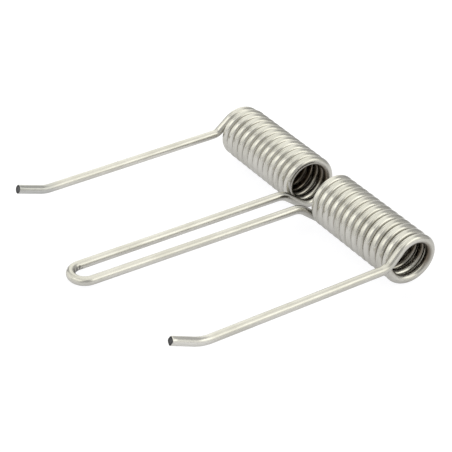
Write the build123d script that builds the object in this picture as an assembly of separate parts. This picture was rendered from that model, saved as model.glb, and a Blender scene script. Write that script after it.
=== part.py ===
from build123d import *
import os
from math import atan2, cos, pi, radians, sin, tan

# Double torsion spring, bent from one length of round wire: two coils of opposite hand on one
# axis, a long loop between them and a leg at each outer end. The X axis is the coil axis, the
# spring is its own mirror image about X = 0, and the legs and the loop point to -Y. It lies as
# it comes to rest, on the undersides of its coils and the closed end of its loop.

# Wire
wire_diameter = 2.0

# Coils, each wound with a fine gap between its turns
coil_inside_diameter = 8.3
coil_pitch = 2.13
full_turns = 13

# Where the wire leaves a coil, as an angle about the coil axis from +Y towards +Z, and the
# straight lead from there to the corner of the next bend
loop_leaving_angle = 236.5
loop_lead = 6.15
leg_leaving_angle = 136.8
leg_lead = 4.83
kink_radius = 3.9

# Loop between the coils, from the coil axis to the centreline of its closed end
loop_reach = 62.3
loop_gap_at_coils = 4.6
loop_gap_at_end = 4.2

# Outer legs, from the coil axis to the corner of the bend before the tip, with the air that is
# left under that bend while the spring lies on a table
leg_reach = 51.6
leg_clearance = 1.1
tip_bend_radius = 5.0
tip_length = 6.8
tip_rise_angle = 23.0

wire_radius = wire_diameter / 2
coil_radius = coil_inside_diameter / 2 + wire_radius
coil_sweep_angle = 360 * full_turns + (leg_leaving_angle - loop_leaving_angle) % 360
coil_length = coil_pitch * coil_sweep_angle / 360
lead_angle = atan2(coil_pitch, 2 * pi * coil_radius)


def wire_section(point, heading):
    """The round section of the wire, square to its heading."""
    return Plane(origin=point, z_dir=heading) * Circle(wire_radius)


def straight(start, end):
    """A straight run of the wire."""
    run = end - start
    return extrude(wire_section(start, run), amount=run.length)


def bend(start, heading, hinge, turn, radius):
    """The wire bent round an axis through so many degrees, at a radius measured to its centreline."""
    centre = start + hinge.cross(heading) * radius
    return revolve(wire_section(start, heading), Axis(centre, hinge), revolution_arc=turn)


def bent_run(corners, radii):
    """Straights and bends along a list of corners, from the first to the last."""
    headings = [(b - a).normalized() for a, b in zip(corners, corners[1:])]
    pieces = []
    start = corners[0]
    for corner, heading, next_heading, radius in zip(corners[1:], headings, headings[1:], radii):
        turn = heading.get_angle(next_heading)
        setback = radius * tan(radians(turn) / 2)
        hinge = heading.cross(next_heading).normalized()
        bend_start = corner - heading * setback
        pieces.append(straight(start, bend_start))
        pieces.append(bend(bend_start, heading, hinge, turn, radius))
        start = corner + next_heading * setback
    pieces.append(straight(start, corners[-1]))
    return pieces


# The coil on the +X side, wound away from the loop as a right-hand helix
loop_half_width_at_coils = loop_gap_at_coils / 2 + wire_radius
coil_start = loop_half_width_at_coils + loop_lead * sin(lead_angle)
first_radial = (0, cos(radians(loop_leaving_angle)), sin(radians(loop_leaving_angle)))
coil_plane = Plane(origin=(coil_start, 0, 0), x_dir=first_radial, z_dir=(1, 0, 0))
helix = coil_plane * Helix(pitch=coil_pitch, height=coil_length, radius=coil_radius)
coil = sweep(wire_section(helix @ 0, helix % 0), path=helix, is_frenet=True)

# The loop: one leg on each side, and a closed end that lies on the same surface as the coils and
# bends round from one leg to the other in a single arc
across = Vector(-1, 0, 0)
loop_half_width_at_end = loop_gap_at_end / 2 + wire_radius
loop_corner = (helix @ 0) - (helix % 0) * loop_lead
loop_end_corner = Vector(loop_half_width_at_end, -loop_reach, -coil_radius)
loop_heading = (loop_end_corner - loop_corner).normalized()
loop_end_start = loop_end_corner - loop_heading * loop_half_width_at_end
loop_leg = bent_run([helix @ 0, loop_corner, loop_end_start], [kink_radius])

half_turn = loop_heading.get_angle(across)
loop_end_radius = loop_half_width_at_end / tan(radians(half_turn) / 2)
loop_hinge = loop_heading.cross(across).normalized()
loop_end = bend(loop_end_start, loop_heading, loop_hinge, 2 * half_turn, loop_end_radius)

# Its outer leg, kinked off the coil's tangent and raised at the tip
leg_corner = (helix @ 1) + (helix % 1) * leg_lead
tip_corner = Vector(leg_corner.X, -leg_reach, leg_clearance - coil_radius)
leg_heading = (tip_corner - leg_corner).normalized()
tip_heading = leg_heading.rotate(Axis.X, -tip_rise_angle)
leg = bent_run(
    [helix @ 1, leg_corner, tip_corner, tip_corner + tip_heading * tip_length],
    [kink_radius, tip_bend_radius],
)

# One length of wire from tip to tip: the other side is the mirror image
side = [coil, *loop_leg, *leg]
spring = loop_end.fuse(*side, *[mirror(piece, about=Plane.YZ) for piece in side])

os.makedirs("parts", exist_ok=True)
export_step(spring, "parts/spring_wire.step")
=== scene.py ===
import bpy
import bmesh
from math import atan2, cos, pi, radians, sin, tan
from mathutils import Matrix, Vector, noise


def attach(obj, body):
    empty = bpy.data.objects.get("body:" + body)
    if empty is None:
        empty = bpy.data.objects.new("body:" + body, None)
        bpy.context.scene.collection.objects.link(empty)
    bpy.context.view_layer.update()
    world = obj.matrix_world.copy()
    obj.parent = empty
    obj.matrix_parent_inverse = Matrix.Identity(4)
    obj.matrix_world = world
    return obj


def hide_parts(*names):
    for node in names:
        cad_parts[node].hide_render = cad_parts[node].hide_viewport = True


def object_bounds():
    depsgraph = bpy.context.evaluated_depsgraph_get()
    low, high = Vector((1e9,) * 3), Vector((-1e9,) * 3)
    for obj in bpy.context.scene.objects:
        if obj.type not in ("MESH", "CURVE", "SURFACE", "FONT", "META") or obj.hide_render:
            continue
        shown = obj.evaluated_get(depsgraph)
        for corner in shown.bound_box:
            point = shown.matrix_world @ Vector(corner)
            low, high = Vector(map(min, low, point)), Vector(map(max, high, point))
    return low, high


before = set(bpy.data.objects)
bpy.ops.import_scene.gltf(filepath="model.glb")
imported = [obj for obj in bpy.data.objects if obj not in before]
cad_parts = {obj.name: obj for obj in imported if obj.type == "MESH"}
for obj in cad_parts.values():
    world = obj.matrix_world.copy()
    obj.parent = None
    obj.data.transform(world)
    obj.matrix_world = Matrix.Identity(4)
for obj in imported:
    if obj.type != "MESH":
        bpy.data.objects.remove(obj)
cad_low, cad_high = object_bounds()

WIRE_RADIUS = 0.001
COIL_RADIUS = cad_high.z - WIRE_RADIUS
COIL_PITCH = 0.00208
FULL_TURNS = 13
OPENED_TURNS = 6
STANDS_PROUD = 0.0002
PROUD_FROM = 0.45
LEG_X = cad_high.x - WIRE_RADIUS

# where the wire leaves a coil, measured about the coil axis from +Y towards +Z, and how far it
# then runs straight before the next bend
LOOP_LEAVING_ANGLE = 236.5
LOOP_LEAD = 0.00615
LEG_LEAVING_ANGLE = 136.8
LEG_LEAD = 0.00483
KINK_RADIUS = 0.0039
LOOP_KINK_RADIUS = 0.0048

LOOP_REACH = 0.0623
LOOP_HALF_WIDTH_AT_COILS = 0.0033
LOOP_HALF_WIDTH_AT_END = 0.0031

LEG_REACH = 0.0516
LEG_CLEARANCE = 0.0011
CROPPED_LENGTH = 0.0012

TURN = 2 * pi
RINGS_A_TURN = 72


def arc(start, heading, next_heading, radius, steps):
    """Centreline points of a bend that begins at start and turns from one heading to the next."""
    turn = heading.angle(next_heading)
    hinge = heading.cross(next_heading).normalized()
    centre = start + hinge.cross(heading) * radius
    spoke = start - centre
    return [centre + Matrix.Rotation(turn * i / steps, 3, hinge) @ spoke for i in range(steps + 1)]


def bent_run(corners, radii, steps):
    """Centreline points of straights and bends along a list of corners, without its first point."""
    headings = [(b - a).normalized() for a, b in zip(corners, corners[1:])]
    points = []
    for corner, heading, next_heading, radius in zip(corners[1:], headings, headings[1:], radii):
        setback = radius * tan(heading.angle(next_heading) / 2)
        points += arc(corner - heading * setback, heading, next_heading, radius, steps)
    return points + [corners[-1]]


# The coils are close-wound. Their last turns are sprung open by what is left between them and the
# line of the leg, a little more with each turn. The second half of the very last turn stands a
# little proud, and that turn may be tucked in.
coil_sweep = TURN * FULL_TURNS + radians((LEG_LEAVING_ANGLE - LOOP_LEAVING_ANGLE) % 360)
coil_rings = round(RINGS_A_TURN * coil_sweep / TURN)
first_rise = atan2(COIL_PITCH, TURN * COIL_RADIUS)
coil_start = LOOP_HALF_WIDTH_AT_COILS + LOOP_LEAD * sin(first_rise)
lead_turns = LEG_LEAD / (TURN * COIL_RADIUS)
SPRUNG_OPEN = LEG_X - coil_start - COIL_PITCH * (coil_sweep / TURN + lead_turns)
MID_COIL = coil_start + COIL_PITCH * coil_sweep / TURN / 2


def on_coil(sweep, tuck=0.0):
    """The point of the right-hand coil's centreline after so many radians of winding."""
    angle = radians(LOOP_LEAVING_ANGLE) + sweep
    turns_left = (coil_sweep - sweep) / TURN
    opening = max(0, 1 - turns_left / OPENED_TURNS) ** 1.5
    x = coil_start + COIL_PITCH * sweep / TURN + SPRUNG_OPEN * opening
    last_turn = max(0, 1 - turns_left)
    x += STANDS_PROUD * sin(pi * max(0, last_turn - PROUD_FROM) / (1 - PROUD_FROM)) ** 2
    radius = COIL_RADIUS - tuck * last_turn ** 2 * (3 - 2 * last_turn)
    return Vector((x, radius * cos(angle), radius * sin(angle)))


def coil_heading(sweep):
    """The way the wire runs where it enters or leaves the coil."""
    angle = radians(LOOP_LEAVING_ANGLE) + sweep
    return Vector((COIL_PITCH / TURN, -COIL_RADIUS * sin(angle), COIL_RADIUS * cos(angle))).normalized()


# The loop's leg leaves the coil underneath and is kinked to run level to the closed end.
loop_corner = on_coil(0) - coil_heading(0) * LOOP_LEAD
loop_end_corner = Vector((LOOP_HALF_WIDTH_AT_END, -LOOP_REACH, -COIL_RADIUS))
loop_heading = (loop_end_corner - loop_corner).normalized()
loop_end_start = loop_end_corner - loop_heading * LOOP_HALF_WIDTH_AT_END
across = Vector((-1, 0, 0))
half_turn = loop_heading.angle(across)
loop_end = arc(loop_end_start, loop_heading, across, LOOP_HALF_WIDTH_AT_END / tan(half_turn / 2), 24)
loop_leg = bent_run([on_coil(0), loop_corner, loop_end_start], [LOOP_KINK_RADIUS], 20)

# The outer legs leave over the front of the coils, are kinked down and raised again at their tips.
# Both lie on the same line, but they are bent one after the other, and the left one came out with
# a tighter last turn, a sharper kink and a flatter tip.
leaving = coil_heading(coil_sweep)
drawn_corner = on_coil(coil_sweep) + leaving * LEG_LEAD
tip_corner = Vector((drawn_corner.x, -LEG_REACH, LEG_CLEARANCE - COIL_RADIUS))
leg_heading = (tip_corner - drawn_corner).normalized()


def coil_and_leg(tuck, kink_radius, tip_bend_radius, tip_rise, tip_length):
    """Centreline points of the right-hand coil and its leg, the leg's last heading and its end."""
    coil = [on_coil(coil_sweep * i / coil_rings, tuck) for i in range(coil_rings + 1)]
    to_tip = tip_corner - coil[-1]
    lead = to_tip.cross(leg_heading).x / leaving.cross(leg_heading).x
    leg_corner = coil[-1] + leaving * lead
    tip_bend = Vector((leg_corner.x, tip_corner.y, tip_corner.z))
    tip_heading = Matrix.Rotation(radians(-tip_rise), 3, "X") @ leg_heading
    crop_start = tip_bend + tip_heading * (tip_length - CROPPED_LENGTH)
    leg = bent_run([coil[-1], leg_corner, tip_bend, crop_start], [kink_radius, tip_bend_radius], 20)
    return coil + leg, tip_heading


right_run, right_tip_heading = coil_and_leg(
    tuck=0.0, kink_radius=KINK_RADIUS, tip_bend_radius=0.0095, tip_rise=24.5, tip_length=0.00775
)
left_run, left_tip_heading = coil_and_leg(
    tuck=0.00035, kink_radius=0.0027, tip_bend_radius=0.0075, tip_rise=19.5, tip_length=0.0069
)

# from the left tip through the middle of the closed end to the right tip
loop_side = loop_end[::-1] + loop_leg[-2::-1]
left_side = [Vector((-p.x, p.y, p.z)) for p in (loop_side + left_run)[:0:-1]]
centreline = left_side + loop_side + right_run
WIRE_LENGTH = sum((b - a).length for a, b in zip(centreline, centreline[1:]))
path = bpy.data.curves.new("centreline", "CURVE")
path.dimensions = "3D"
spline = path.splines.new("POLY")
spline.points.add(len(centreline) - 1)
for point, place in zip(spline.points, centreline):
    point.co = (*place, 1)
wire = bpy.data.objects.new("wire", path)
bpy.context.collection.objects.link(wire)

# ------------------------------------------------------------------------------------------------
# Its finish. Drawing leaves stainless wire bright, with fine lines from the dies and clouds of
# soap. Inside the coils, deep in them and in their upper half, the steel is darkened as painted
# shade for the bores, the coiler's pin left marks inside the loop, and the left tip is painted grey
# as painted shade and the right one lighter as a painted highlight.
# ------------------------------------------------------------------------------------------------
steel = bpy.data.materials.new("drawn_stainless")
steel.use_nodes = True
tree = steel.node_tree
bsdf = tree.nodes["Principled BSDF"]
bsdf.inputs["Metallic"].default_value = 1.0


def node(kind, **values):
    """One shader node of the open tree, with its inputs given as values or as other sockets."""
    made = tree.nodes.new(kind)
    settings = values.pop("settings", {})
    for name, value in settings.items():
        setattr(made, name, value)
    for name, value in values.items():
        key = int(name[1:]) if name[1:].isdigit() else name.replace("_", " ")
        if isinstance(value, bpy.types.NodeSocket):
            tree.links.new(value, made.inputs[key])
        else:
            made.inputs[key].default_value = value
    return made


def calc(operation, a, b=0.0, c=0.0):
    """One sum on one, two or three values."""
    return node("ShaderNodeMath", settings={"operation": operation}, _0=a, _1=b, _2=c).outputs[0]


def between(value, low, high, to_low=0.0, to_high=1.0):
    """A value mapped smoothly from one range to another, and held at its ends."""
    made = node("ShaderNodeMapRange", settings={"interpolation_type": "SMOOTHSTEP"}, Value=value,
                From_Min=low, From_Max=high, To_Min=to_low, To_Max=to_high)
    return made.outputs["Result"]


def mixed(factor, first, second):
    """The first colour, blended towards the second."""
    made = node("ShaderNodeMix", settings={"data_type": "RGBA"}, _0=factor, _6=first, _7=second)
    return made.outputs[2]


# the place on the wire: x and y across its section, and the length along it from the left tip
section_at = node("ShaderNodeAttribute", settings={"attribute_name": "section"})
length_at = node("ShaderNodeAttribute", settings={"attribute_name": "along"})
across_wire = node("ShaderNodeSeparateXYZ", Vector=section_at.outputs["Vector"])


def wire_noise(across_scale, along_scale, detail, shift=0.0):
    """Noise with grains of 1 / across_scale mm round the wire and 1 / along_scale mm along it."""
    at = node(
        "ShaderNodeCombineXYZ",
        X=calc("MULTIPLY", across_wire.outputs[0], 1000 * across_scale),
        Y=calc("MULTIPLY", across_wire.outputs[1], 1000 * across_scale),
        Z=calc("MULTIPLY_ADD", length_at.outputs["Fac"], 1000 * along_scale, shift),
    )
    return node("ShaderNodeTexNoise", Vector=at.outputs[0], Scale=1.0, Detail=detail).outputs["Fac"]


draw_lines = wire_noise(11.0, 0.09, 2.0)
die_marks = wire_noise(3.2, 0.035, 2.0, 40.0)
soap_clouds = wire_noise(0.55, 0.16, 4.0, 90.0)
pits = wire_noise(5.5, 2.6, 1.0, 150.0)

place = node("ShaderNodeSeparateXYZ", Vector=node("ShaderNodeTexCoord").outputs["Object"])
squares = calc("ADD", calc("POWER", place.outputs[1], 2.0), calc("POWER", place.outputs[2], 2.0))
from_axis = calc("SQRT", squares)
inside = between(from_axis, COIL_RADIUS - 0.0009, COIL_RADIUS + 0.0001, 1.0, 0.0)
from_mid_coil = calc("ABSOLUTE", calc("SUBTRACT", calc("ABSOLUTE", place.outputs[0]), MID_COIL))
# Painted shade: the inside of the coils is darkened deep in them and in their upper half, where little light
# gets in.
deep_in = between(from_mid_coil, 0.0080, 0.0120, 1.0, 0.0)
upper_half = between(place.outputs[2], -0.0042, -0.0008, 0.0, 0.9)
painted_bore_shade = calc("MAXIMUM", deep_in, upper_half)
on_coils = between(place.outputs[1], -0.0105, -0.0065)
pitted = between(pits, 0.775, 0.80)
wire_at = length_at.outputs["Fac"]
# Painted shade on the left tip and a painted highlight on the right tip, by length along the wire.
painted_left_tip_shade = between(wire_at, 0.006, 0.010, 0.5, 0.0)
painted_right_tip_highlight = between(wire_at, WIRE_LENGTH - 0.010, WIRE_LENGTH - 0.006, 0.0, 0.45)
from_loop_pin = node("ShaderNodeVectorMath", settings={"operation": "DISTANCE"},
                     _0=node("ShaderNodeTexCoord").outputs["Object"],
                     _1=(0, LOOP_HALF_WIDTH_AT_END - LOOP_REACH, -COIL_RADIUS))
by_pin = between(from_loop_pin.outputs["Value"], 0.0023, 0.0027, 1.0, 0.0)
tool_marks = calc("MULTIPLY", by_pin, between(wire_noise(0.8, 0.9, 1.0, 31.0), 0.50, 0.56))

steel_colour = mixed(between(soap_clouds, 0.36, 0.66), (0.61, 0.597, 0.562, 1), (0.545, 0.532, 0.492, 1))
steel_colour = mixed(between(die_marks, 0.40, 0.72, 0.0, 0.25), steel_colour, (0.47, 0.46, 0.43, 1))
# Painted shade: the inside of the coils, deep in them and in their upper half, is darkened to a warm
# near-black.
steel_colour = mixed(calc("MULTIPLY", inside, painted_bore_shade), steel_colour, (0.11, 0.082, 0.055, 1))
# The left tip painted grey as painted shade, the right tip painted lighter as a painted highlight.
steel_colour = mixed(painted_left_tip_shade, steel_colour, (0.36, 0.37, 0.38, 1))
steel_colour = mixed(painted_right_tip_highlight, steel_colour, (0.72, 0.705, 0.68, 1))
steel_colour = mixed(calc("MULTIPLY", tool_marks, 0.8), steel_colour, (0.13, 0.125, 0.12, 1))
steel_colour = mixed(calc("MULTIPLY", pitted, 0.85), steel_colour, (0.10, 0.095, 0.09, 1))
tree.links.new(steel_colour, bsdf.inputs["Base Color"])

drawn_roughness = between(draw_lines, 0.35, 0.65, 0.21, 0.29)
roughness = calc("ADD", drawn_roughness, between(soap_clouds, 0.36, 0.66, 0.0, 0.05))
roughness = calc("ADD", roughness, calc("MULTIPLY", pitted, 0.3))
roughness = calc("SUBTRACT", roughness, calc("MULTIPLY", on_coils, 0.045))
tree.links.new(roughness, bsdf.inputs["Roughness"])

LINE_DEPTH = 0.000001
MARK_DEPTH = 0.000004
PIT_DEPTH = 0.00001
lines_height = calc("MULTIPLY", draw_lines, LINE_DEPTH)
marks_height = calc("MULTIPLY", die_marks, MARK_DEPTH)
height = calc("SUBTRACT", calc("ADD", lines_height, marks_height), calc("MULTIPLY", pitted, PIT_DEPTH))
relief = node("ShaderNodeBump", Height=height, Strength=1.0, Distance=1.0)
tree.links.new(relief.outputs[0], bsdf.inputs["Normal"])

# ------------------------------------------------------------------------------------------------
# The wire itself. A round section is carried along the run, and each point keeps its place in the
# section and its length along the wire, which the lines of the finish follow.
# ------------------------------------------------------------------------------------------------
drawing = bpy.data.node_groups.new("wire_along_its_centreline", "GeometryNodeTree")
sockets = drawing.interface
sockets.new_socket("Centreline", in_out="INPUT", socket_type="NodeSocketGeometry")
diameter_in = sockets.new_socket("Wire diameter", in_out="INPUT", socket_type="NodeSocketFloat")
sides_in = sockets.new_socket("Section sides", in_out="INPUT", socket_type="NodeSocketInt")
finish_in = sockets.new_socket("Finish", in_out="INPUT", socket_type="NodeSocketMaterial")
sockets.new_socket("Wire", in_out="OUTPUT", socket_type="NodeSocketGeometry")
nodes, links = drawing.nodes, drawing.links
given = nodes.new("NodeGroupInput")
made = nodes.new("NodeGroupOutput")
radius = nodes.new("ShaderNodeMath")
radius.operation = "DIVIDE"
radius.inputs[1].default_value = 2
section = nodes.new("GeometryNodeCurvePrimitiveCircle")
links.new(given.outputs["Wire diameter"], radius.inputs[0])
links.new(radius.outputs[0], section.inputs["Radius"])
links.new(given.outputs["Section sides"], section.inputs["Resolution"])
in_section = nodes.new("GeometryNodeInputPosition")
keep_section = nodes.new("GeometryNodeStoreNamedAttribute")
keep_section.data_type = "FLOAT_VECTOR"
keep_section.inputs["Name"].default_value = "section"
links.new(section.outputs["Curve"], keep_section.inputs["Geometry"])
links.new(in_section.outputs[0], keep_section.inputs["Value"])
measure = nodes.new("GeometryNodeSplineParameter")
keep_length = nodes.new("GeometryNodeStoreNamedAttribute")
keep_length.data_type = "FLOAT"
keep_length.inputs["Name"].default_value = "along"
links.new(given.outputs["Centreline"], keep_length.inputs["Geometry"])
links.new(measure.outputs["Length"], keep_length.inputs["Value"])
sweep = nodes.new("GeometryNodeCurveToMesh")
links.new(keep_length.outputs[0], sweep.inputs["Curve"])
links.new(keep_section.outputs[0], sweep.inputs["Profile Curve"])
sweep.inputs["Fill Caps"].default_value = False
realize = nodes.new("GeometryNodeRealizeInstances")
set_finish = nodes.new("GeometryNodeSetMaterial")
links.new(sweep.outputs[0], realize.inputs[0])
links.new(realize.outputs[0], set_finish.inputs["Geometry"])
links.new(given.outputs["Finish"], set_finish.inputs["Material"])
links.new(set_finish.outputs[0], made.inputs[0])

SECTION_SIDES = 32
modifier = wire.modifiers.new("wire", "NODES")
modifier.node_group = drawing
modifier[diameter_in.identifier] = 2 * WIRE_RADIUS
modifier[sides_in.identifier] = SECTION_SIDES
modifier[finish_in.identifier] = steel
bpy.context.view_layer.update()
mesh = bpy.data.meshes.new_from_object(wire.evaluated_get(bpy.context.evaluated_depsgraph_get()))
bpy.data.objects.remove(wire)
spring = bpy.data.objects.new("spring", mesh)
bpy.context.collection.objects.link(spring)

# ------------------------------------------------------------------------------------------------
# Its cut ends. The wire is cropped between two blades, which press the last millimetre out of
# round, the right end to a lozenge and the left to an oval, roll the rim over and leave a torn face.
# ------------------------------------------------------------------------------------------------
torn = bpy.data.materials.new("cropped_face")
torn.use_nodes = True
tree = torn.node_tree
bsdf = tree.nodes["Principled BSDF"]
bsdf.inputs["Metallic"].default_value = 1.0
section_at = node("ShaderNodeAttribute", settings={"attribute_name": "section"})
from_middle = node("ShaderNodeVectorMath", settings={"operation": "LENGTH"}, _0=section_at.outputs["Vector"])
stretched = node("ShaderNodeVectorMath", settings={"operation": "MULTIPLY"},
                 _0=section_at.outputs["Vector"], _1=(9000.0, 2600.0, 1000.0))
tears = node("ShaderNodeTexNoise", Vector=stretched.outputs[0], Scale=1.0, Detail=4.0).outputs["Fac"]
towards_rim = between(from_middle.outputs["Value"], 0.0003, 0.0009)
face_colour = mixed(towards_rim, (0.085, 0.085, 0.09, 1), (0.028, 0.028, 0.03, 1))
face_colour = mixed(between(tears, 0.45, 0.7, 0.0, 0.5), face_colour, (0.15, 0.15, 0.155, 1))
tree.links.new(face_colour, bsdf.inputs["Base Color"])
tree.links.new(between(tears, 0.3, 0.7, 0.38, 0.6), bsdf.inputs["Roughness"])
relief = node("ShaderNodeBump", Height=calc("MULTIPLY", tears, 0.00003), Strength=1.0, Distance=1.0)
tree.links.new(relief.outputs[0], bsdf.inputs["Normal"])
mesh.materials.append(torn)

crop_steps = [0.2, 0.4, 0.6, 0.78, 0.9, 0.955, 0.985, 1.0]
rim_rolls = [0.0, 0.0, 0.0, 0.0, 0.004, 0.016, 0.036, 0.07]
face_steps = [0.86, 0.78, 0.66, 0.5, 0.34, 0.18]


def pinched(spoke, upright, sideways, pinch, swell):
    """A spoke of the round section, pressed by the blades towards a lozenge or a taller oval."""
    high, wide = spoke.dot(upright), spoke.dot(sideways)
    corner = abs(high * wide) / WIRE_RADIUS ** 2
    pressed = upright * high * (1 + swell) + sideways * wide * (1 - 0.6 * pinch)
    return pressed * (1 - 2 * pinch * corner)


def bridge(bm, ring, next_ring, finish):
    """Faces of one finish between two rings of the wire."""
    for a, b, c, d in zip(ring, ring[1:] + ring[:1], next_ring[1:] + next_ring[:1], next_ring):
        bm.faces.new((a, b, c, d)).material_index = finish


bm = bmesh.new()
bm.from_mesh(mesh)
section_layer = bm.verts.layers.float_vector["section"]
along_layer = bm.verts.layers.float["along"]
for side, heading, middle, lean, pinch, swell in (
    (1, right_tip_heading, centreline[-1], 18, 0.14, 0.04),
    (-1, left_tip_heading, centreline[0], -18, 0.02, 0.09),
):
    outward = Vector((side * heading.x, heading.y, heading.z))
    open_edges = [e for e in bm.edges if e.is_boundary and e.verts[0].co.x * side > 0]
    ring = [open_edges[0].verts[0], open_edges[0].verts[1]]
    while len(ring) < len(open_edges):
        onward = [e.other_vert(ring[-1]) for e in ring[-1].link_edges if e.is_boundary]
        ring.append(next(v for v in onward if v is not ring[-2]))
    upright = (Vector((0, 0, 1)) - outward * outward.z).normalized()
    upright = Matrix.Rotation(radians(lean), 3, outward) @ upright
    sideways = outward.cross(upright)
    spokes = [v.co - middle for v in ring]
    places = [v[section_layer].copy() for v in ring]
    start_length = ring[0][along_layer]

    for step, roll in zip(crop_steps, rim_rolls):
        next_ring = []
        for spoke, place in zip(spokes, places):
            pressed = pinched(spoke, upright, sideways, pinch * step ** 2, swell * step ** 2) * (1 - roll)
            vert = bm.verts.new(middle + outward * CROPPED_LENGTH * step + pressed)
            vert[section_layer] = place
            vert[along_layer] = start_length + side * CROPPED_LENGTH * step
            next_ring.append(vert)
        bridge(bm, ring, next_ring, 0)
        ring = next_ring

    # The face is burnished flat where the blade first went in and torn below that.
    for step in face_steps + [0.0]:
        next_ring = []
        for spoke, place in zip(spokes, places):
            pressed = pinched(spoke, upright, sideways, pinch, swell) * step
            tear = noise.noise(Vector((pressed.dot(upright) * 1500, pressed.dot(sideways) * 3000, side * 7)))
            sunk = 0.00007 * (1 - step) + 0.00004 * pressed.dot(upright) / WIRE_RADIUS + 0.00004 * tear
            if step == 0.0 and next_ring:
                continue
            vert = bm.verts.new(middle + outward * (CROPPED_LENGTH - sunk) + pressed)
            vert[section_layer] = place * step
            vert[along_layer] = start_length + side * CROPPED_LENGTH
            next_ring.append(vert)
        if step:
            bridge(bm, ring, next_ring, 1)
        else:
            for a, b in zip(ring, ring[1:] + ring[:1]):
                bm.faces.new((a, b, next_ring[0])).material_index = 1
        ring = next_ring
bmesh.ops.recalc_face_normals(bm, faces=bm.faces)
bm.to_mesh(mesh)
bm.free()
mesh.shade_smooth()
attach(spring, "root")
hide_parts("spring_wire")

# ------------------------------------------------------------------------------------------------
# The table. A sheet of white acrylic that is lit from below as well, a little less on its right
# and least of all far behind. It shows plain white, brighter than the steel mirrors it.
# ------------------------------------------------------------------------------------------------
TABLE_HALF = 1.6
table_mesh = bpy.data.meshes.new("table")
table_mesh.from_pydata(
    [Vector((x * TABLE_HALF, y * TABLE_HALF, cad_low.z)) for x, y in ((-1, -1), (1, -1), (1, 1), (-1, 1))],
    [],
    [(0, 1, 2, 3)],
)
table = bpy.data.objects.new("table", table_mesh)
bpy.context.collection.objects.link(table)
acrylic = bpy.data.materials.new("white_acrylic")
acrylic.use_nodes = True
tree = acrylic.node_tree
bsdf = tree.nodes["Principled BSDF"]
bsdf.inputs["Roughness"].default_value = 0.4
bsdf.inputs["Specular IOR Level"].default_value = 0.5
bsdf.inputs["Emission Color"].default_value = (1, 1, 1.01, 1)
at_table = node("ShaderNodeSeparateXYZ", Vector=node("ShaderNodeTexCoord").outputs["Object"])
from_below = between(at_table.outputs[0], -0.04, 0.05, 0.33, 0.245)
from_below = calc("MULTIPLY", from_below, between(at_table.outputs[1], 0.03, 0.12, 1.0, 0.4))
seen = node("ShaderNodeLightPath").outputs["Is Camera Ray"]
tree.links.new(between(seen, 0.0, 1.0, from_below, 0.93), bsdf.inputs["Emission Strength"])
tree.links.new(mixed(seen, (0.60, 0.60, 0.64, 1), (0.07, 0.07, 0.07, 1)), bsdf.inputs["Base Color"])
table_mesh.materials.append(acrylic)

# ------------------------------------------------------------------------------------------------
# The light. Soft panels with faded edges stand round the table in two rows and hang over it. They
# are brightest to the right and in front, and faint behind and on the side that is looked from.
# ------------------------------------------------------------------------------------------------
room = bpy.data.worlds.new("room")
bpy.context.scene.world = room
room.use_nodes = True
tree = room.node_tree
seen = node("ShaderNodeLightPath").outputs["Is Camera Ray"]
tree.nodes["Background"].inputs["Color"].default_value = (1, 1, 1, 1)
tree.links.new(between(seen, 0.0, 1.0, 0.40, 1.03), tree.nodes["Background"].inputs["Strength"])

PANEL_DISTANCE = 0.9
PANEL_COLOUR = (1.0, 1.0, 0.892, 1)
EDGE_FADE = 0.14
middle_of_spring = Vector((0, -0.025, 0))


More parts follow.
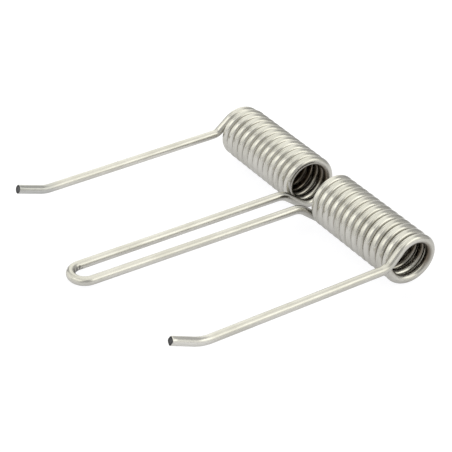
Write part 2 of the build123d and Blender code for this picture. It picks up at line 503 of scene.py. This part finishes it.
def panel(name, azimuth, elevation, width, height, glow, first_fade=EDGE_FADE, last_fade=EDGE_FADE):
    """A soft panel facing the spring, placed by its bearing from -Y towards +X and its elevation."""
    global tree
    az, el = radians(azimuth), radians(elevation)
    towards = Vector((sin(az) * cos(el), -cos(az) * cos(el), sin(el)))
    along = Vector((cos(az), sin(az), 0))
    panel_mesh = bpy.data.meshes.new(name)
    corners = ((-width, -height), (width, -height), (width, height), (-width, height))
    panel_mesh.from_pydata([Vector((x / 2, y / 2, 0)) for x, y in corners], [], [(0, 1, 2, 3)])
    board = bpy.data.objects.new(name, panel_mesh)
    turned = Matrix((along, towards.cross(along), towards)).transposed().to_4x4()
    board.matrix_world = Matrix.Translation(middle_of_spring + towards * PANEL_DISTANCE) @ turned
    bpy.context.collection.objects.link(board)
    surface = bpy.data.materials.new(name)
    surface.use_nodes = True
    surface.node_tree.nodes.clear()
    tree = surface.node_tree
    on_panel = node("ShaderNodeSeparateXYZ", Vector=node("ShaderNodeTexCoord").outputs["Object"])
    first_side = between(on_panel.outputs[0], -width / 2, first_fade - width / 2, 0.0, 1.0)
    last_side = between(on_panel.outputs[0], width / 2 - last_fade, width / 2, 1.0, 0.0)
    across_fade = calc("MULTIPLY", first_side, last_side)
    from_middle_row = calc("ABSOLUTE", on_panel.outputs[1])
    upward_fade = between(from_middle_row, height / 2 - EDGE_FADE, height / 2, 1.0, 0.0)
    strength = calc("MULTIPLY", calc("MULTIPLY", across_fade, upward_fade), glow)
    lit = node("ShaderNodeEmission", Color=PANEL_COLOUR, Strength=strength)
    clear = node("ShaderNodeBsdfTransparent")
    both = node("ShaderNodeAddShader", _0=lit.outputs[0], _1=clear.outputs[0])
    node("ShaderNodeOutputMaterial", Surface=both.outputs[0])
    panel_mesh.materials.append(surface)
    board.visible_camera = False


panel("overhead_left", 268, 71, 1.60, 0.70, 1.03, 0.55, 0.60)
panel("overhead_right", 90, 72, 1.70, 0.70, 0.98, 0.55, 0.55)
panel("right_high", 118, 38, 0.94, 0.55, 1.45, 0.20)
panel("right_low", 116, 14, 0.92, 0.52, 0.72)
panel("front_high", 7, 38, 0.96, 0.55, 1.30)
panel("front_low", 7, 14, 0.96, 0.52, 0.70)
panel("front_left_high", 313, 38, 1.00, 0.55, 0.68)
panel("front_left_low", 313, 14, 1.00, 0.52, 1.02)
panel("left_high", 240, 38, 1.02, 0.55, 1.04, 0.58)
panel("left_low", 240, 14, 1.02, 0.52, 1.02, 0.58)
panel("back_high", 180, 38, 1.40, 0.55, 0.19)
panel("back_low", 172, 14, 1.30, 0.52, 0.21, 0.14, 1.00)
panel("camera_high", 62, 38, 1.12, 0.55, 0.10)
panel("camera_low", 62, 14, 1.12, 0.52, 0.13)

# ------------------------------------------------------------------------------------------------
# The camera. It has a long lens and looks down on the spring from the side of its right coil,
# rolled by a few degrees.
# ------------------------------------------------------------------------------------------------
azimuth, elevation, roll = radians(55.086), radians(30.499), radians(4.540)
back = Vector((sin(azimuth) * cos(elevation), -cos(azimuth) * cos(elevation), sin(elevation)))
right = (-back).cross(Vector((0, 0, 1))).normalized()
up = right.cross(-back)
tilted_right = cos(roll) * right + sin(roll) * up
tilted_up = cos(roll) * up - sin(roll) * right
looked_at = Vector((-0.002147, -0.023442, -0.004242))
camera_data = bpy.data.cameras.new("camera")
camera_data.lens = 126.987
camera_data.sensor_width = 36
camera_data.clip_start = 0.01
camera_data.clip_end = 100
camera = bpy.data.objects.new("camera", camera_data)
turned = Matrix((tilted_right, tilted_up, back)).transposed().to_4x4()
camera.matrix_world = Matrix.Translation(looked_at + back * 0.347747) @ turned
bpy.context.collection.objects.link(camera)
bpy.context.scene.camera = camera
bpy.context.scene.view_settings.view_transform = "Standard"
